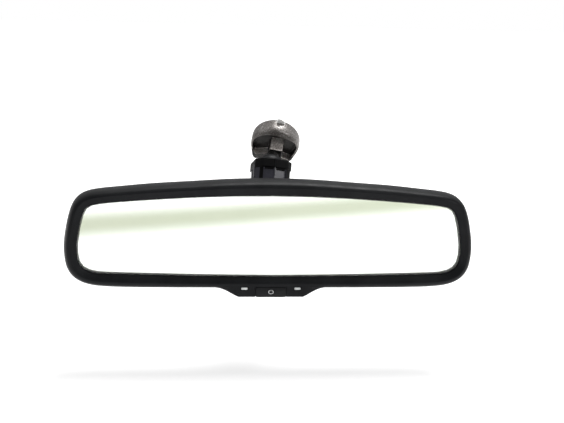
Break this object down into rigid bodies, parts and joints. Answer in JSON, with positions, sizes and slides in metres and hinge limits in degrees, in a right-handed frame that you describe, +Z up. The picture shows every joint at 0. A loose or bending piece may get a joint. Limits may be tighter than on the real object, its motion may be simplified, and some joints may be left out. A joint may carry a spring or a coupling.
{
  "type": "interior rearview mirror",
  "caption": "Auto-dimming interior rearview mirror with a push button, on a double-ball arm with a slide-on windshield mount.",
  "frame": {"origin": "middle of the flat seat in the windshield mount, where the glass-bonded button rests", "axes": "+X along the length of the head, to the right as the driver sees it; the glass faces -Y; +Z is up"},
  "size_m": [0.2581, 0.0887, 0.1067],
  "materials": {
    "cast_grey": "speckled dark grey paint on die-cast zinc",
    "zinc_spring": "bright zinc plate",
    "steel": "plain steel, satin",
    "ball_steel": "dark phosphated steel",
    "nylon": "natural nylon",
    "acetal": "black acetal",
    "arm_plastic": "black plastic, fine satin",
    "housing_plastic": "black plastic with a fine moulded grain",
    "clear_glass": "clear polished glass",
    "mirror_coating": "silvered glass",
    "seal": "grey sealing compound",
    "contact_copper": "tinned copper alloy",
    "foam": "closed-cell foam with adhesive",
    "carrier_plastic": "black filled nylon",
    "board": "green solder mask",
    "component_black": "black moulded component bodies",
    "window_plastic": "translucent white light guide"
  },
  "bodies": {
    "mount": {"mount_base": "cast_grey", "button_clip": "zinc_spring", "clip_screw_left": "steel", "clip_screw_right": "steel", "upper_ball_stud": "ball_steel"},
    "upper_liner": {"upper_ball_liner": "nylon"},
    "upper_seat": {"upper_ball_seat": "acetal"},
    "arm": {"arm_tube": "steel", "arm_cover_left": "arm_plastic", "arm_cover_right": "arm_plastic", "arm_spring": "zinc_spring", "lower_spring_cup": "steel", "upper_spring_cup": "steel"},
    "lower_seat": {"lower_ball_seat": "acetal"},
    "lower_liner": {"lower_ball_liner": "nylon"},
    "head": {"lower_ball_stud": "ball_steel", "stud_plate": "steel", "stud_plate_screw_1": "steel", "stud_plate_screw_2": "steel", "stud_plate_screw_3": "steel", "stud_plate_screw_4": "steel", "rear_housing": "housing_plastic", "bezel": "housing_plastic", "front_glass": "clear_glass", "cell_seal": "seal", "rear_glass": "mirror_coating", "contact_clip_upper": "contact_copper", "contact_clip_lower": "contact_copper", "foam_pad": "foam", "carrier_plate": "carrier_plastic", "circuit_board": "board", "control_chip": "component_black", "capacitor": "component_black", "indicator_led": "window_plastic", "glare_sensor": "component_black", "indicator_window": "window_plastic", "glare_sensor_window": "window_plastic", "ambient_sensor": "component_black", "ambient_lens": "window_plastic", "connector_shell": "component_black", "connector_pin_1": "contact_copper", "connector_pin_2": "contact_copper", "connector_pin_3": "contact_copper", "connector_pin_4": "contact_copper", "switch_body": "component_black"},
    "button": {"power_button": "housing_plastic"},
    "plunger": {"switch_plunger": "acetal"}
  },
  "joints": [
    {"name": "upper_ball_turn", "type": "hinge", "parent": "mount", "child": "upper_liner", "pos_m": [-0.00499, -0.02054, -0.01629], "axis": [0.1869, 0.7698, 0.6103], "range_deg": [-15, 15]},
    {"name": "upper_ball_tilt", "type": "hinge", "parent": "upper_liner", "child": "upper_seat", "pos_m": [-0.00499, -0.02054, -0.01629], "axis": [-0.9814, 0.1185, 0.1511], "range_deg": [-12, 12]},
    {"name": "upper_ball_swing", "type": "hinge", "parent": "upper_seat", "child": "arm", "pos_m": [-0.00499, -0.02054, -0.01629], "axis": [0.044, -0.6272, 0.7776], "range_deg": [-12, 12]},
    {"name": "lower_ball_tilt", "type": "hinge", "parent": "arm", "child": "lower_seat", "pos_m": [-0.00839, -0.03554, -0.05359], "axis": [1, 0, 0], "range_deg": [-12, 12]},
    {"name": "lower_ball_yaw", "type": "hinge", "parent": "lower_seat", "child": "lower_liner", "pos_m": [-0.00839, -0.03554, -0.05359], "axis": [0, 0, 1], "range_deg": [-18, 18]},
    {"name": "lower_ball_roll", "type": "hinge", "parent": "lower_liner", "child": "head", "pos_m": [-0.00839, -0.03554, -0.05359], "axis": [0, 1, 0], "range_deg": [-12, 12]},
    {"name": "power_button_press", "type": "slide", "parent": "head", "child": "button", "axis": [0, 1, 0], "range_m": [0, 0.0005], "stiffness_N_per_m": 3000, "springref_m": -0.0002},
    {"name": "switch_plunger_press", "type": "slide", "parent": "head", "child": "plunger", "axis": [0, 1, 0], "range_m": [0, 0.0005]}
  ],
  "couplings": [
    {"joint": "switch_plunger_press", "follows": "power_button_press", "ratio": 1}
  ]
}
